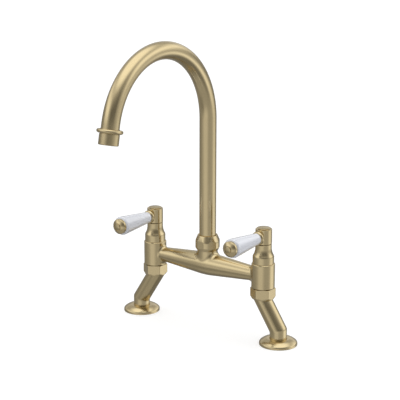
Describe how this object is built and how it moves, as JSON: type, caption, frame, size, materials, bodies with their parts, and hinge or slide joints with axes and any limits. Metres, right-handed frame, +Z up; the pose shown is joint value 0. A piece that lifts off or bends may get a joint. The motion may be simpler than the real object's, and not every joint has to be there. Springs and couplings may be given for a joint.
{
  "type": "bridge kitchen faucet",
  "caption": "Deck-mounted bridge kitchen faucet with a swan-neck swivel spout, quarter-turn lever handles in white ceramic, and cranked legs on domed flanges.",
  "frame": {"origin": "on the deck, midway between the two feet", "axes": "+Z up, +X along the bridge from hot to cold, -Y to the front, where the spout and levers point"},
  "size_m": [0.2806, 0.2381, 0.3977],
  "materials": {
    "satin_brass": "fine brushed satin brass, pale champagne gold",
    "raw_brass": "turned brass, unplated",
    "steel": "plain stainless steel",
    "rubber": "black rubber",
    "fibre": "red-brown vulcanised fibre washer",
    "slip_plastic": "white acetal",
    "disc_ceramic": "lapped alumina",
    "glazed_ceramic": "glossy white glaze"
  },
  "bodies": {
    "root": {"bridge_body": "satin_brass", "spout_nut": "satin_brass", "spout_slip_ring": "slip_plastic", "hot_leg_nut": "satin_brass", "hot_leg_washer": "fibre", "hot_seat_seal": "rubber", "hot_fixed_disc": "disc_ceramic", "hot_valve_housing": "raw_brass", "hot_bonnet": "satin_brass", "cold_leg_nut": "satin_brass", "cold_leg_washer": "fibre", "cold_seat_seal": "rubber", "cold_fixed_disc": "disc_ceramic", "cold_valve_housing": "raw_brass", "cold_bonnet": "satin_brass"},
    "spout": {"spout_tube": "satin_brass", "spout_spigot": "raw_brass", "spout_orings": "rubber", "outlet_bead": "satin_brass", "aerator_housing": "satin_brass", "aerator_insert": "slip_plastic", "aerator_washer": "rubber"},
    "hot_handle": {"hot_moving_disc": "disc_ceramic", "hot_spindle": "raw_brass", "hot_spindle_oring": "rubber", "hot_thrust_washer": "slip_plastic", "hot_circlip": "steel", "hot_handle_hub": "satin_brass", "hot_handle_screw": "steel", "hot_index_cap": "satin_brass", "hot_lever_stud": "steel", "hot_lever_collar": "satin_brass", "hot_lever_ceramic": "glazed_ceramic", "hot_lever_washers": "slip_plastic", "hot_lever_end_cap": "satin_brass"},
    "hot_leg": {"hot_leg": "satin_brass", "hot_flange": "satin_brass", "hot_flange_gasket": "rubber"},
    "cold_handle": {"cold_moving_disc": "disc_ceramic", "cold_spindle": "raw_brass", "cold_spindle_oring": "rubber", "cold_thrust_washer": "slip_plastic", "cold_circlip": "steel", "cold_handle_hub": "satin_brass", "cold_handle_screw": "steel", "cold_index_cap": "satin_brass", "cold_lever_stud": "steel", "cold_lever_collar": "satin_brass", "cold_lever_ceramic": "glazed_ceramic", "cold_lever_washers": "slip_plastic", "cold_lever_end_cap": "satin_brass"},
    "cold_leg": {"cold_leg": "satin_brass", "cold_flange": "satin_brass", "cold_flange_gasket": "rubber"}
  },
  "joints": [
    {"name": "hot_handle_turn", "type": "hinge", "parent": "root", "child": "hot_handle", "pos_m": [-0.09, 0, 0.143], "axis": [0, 0, 1], "range_deg": [-90, 0]},
    {"name": "cold_handle_turn", "type": "hinge", "parent": "root", "child": "cold_handle", "pos_m": [0.09, 0, 0.143], "axis": [0, 0, 1], "range_deg": [0, 90]},
    {"name": "spout_swivel", "type": "hinge", "parent": "root", "child": "spout", "pos_m": [0, 0, 0.124], "axis": [0, 0, 1], "continuous": true},
    {"name": "hot_leg_swivel", "type": "hinge", "parent": "root", "child": "hot_leg", "pos_m": [-0.09, 0, 0.0625], "axis": [0, 0, 1], "continuous": true},
    {"name": "cold_leg_swivel", "type": "hinge", "parent": "root", "child": "cold_leg", "pos_m": [0.09, 0, 0.0625], "axis": [0, 0, 1], "continuous": true}
  ]
}
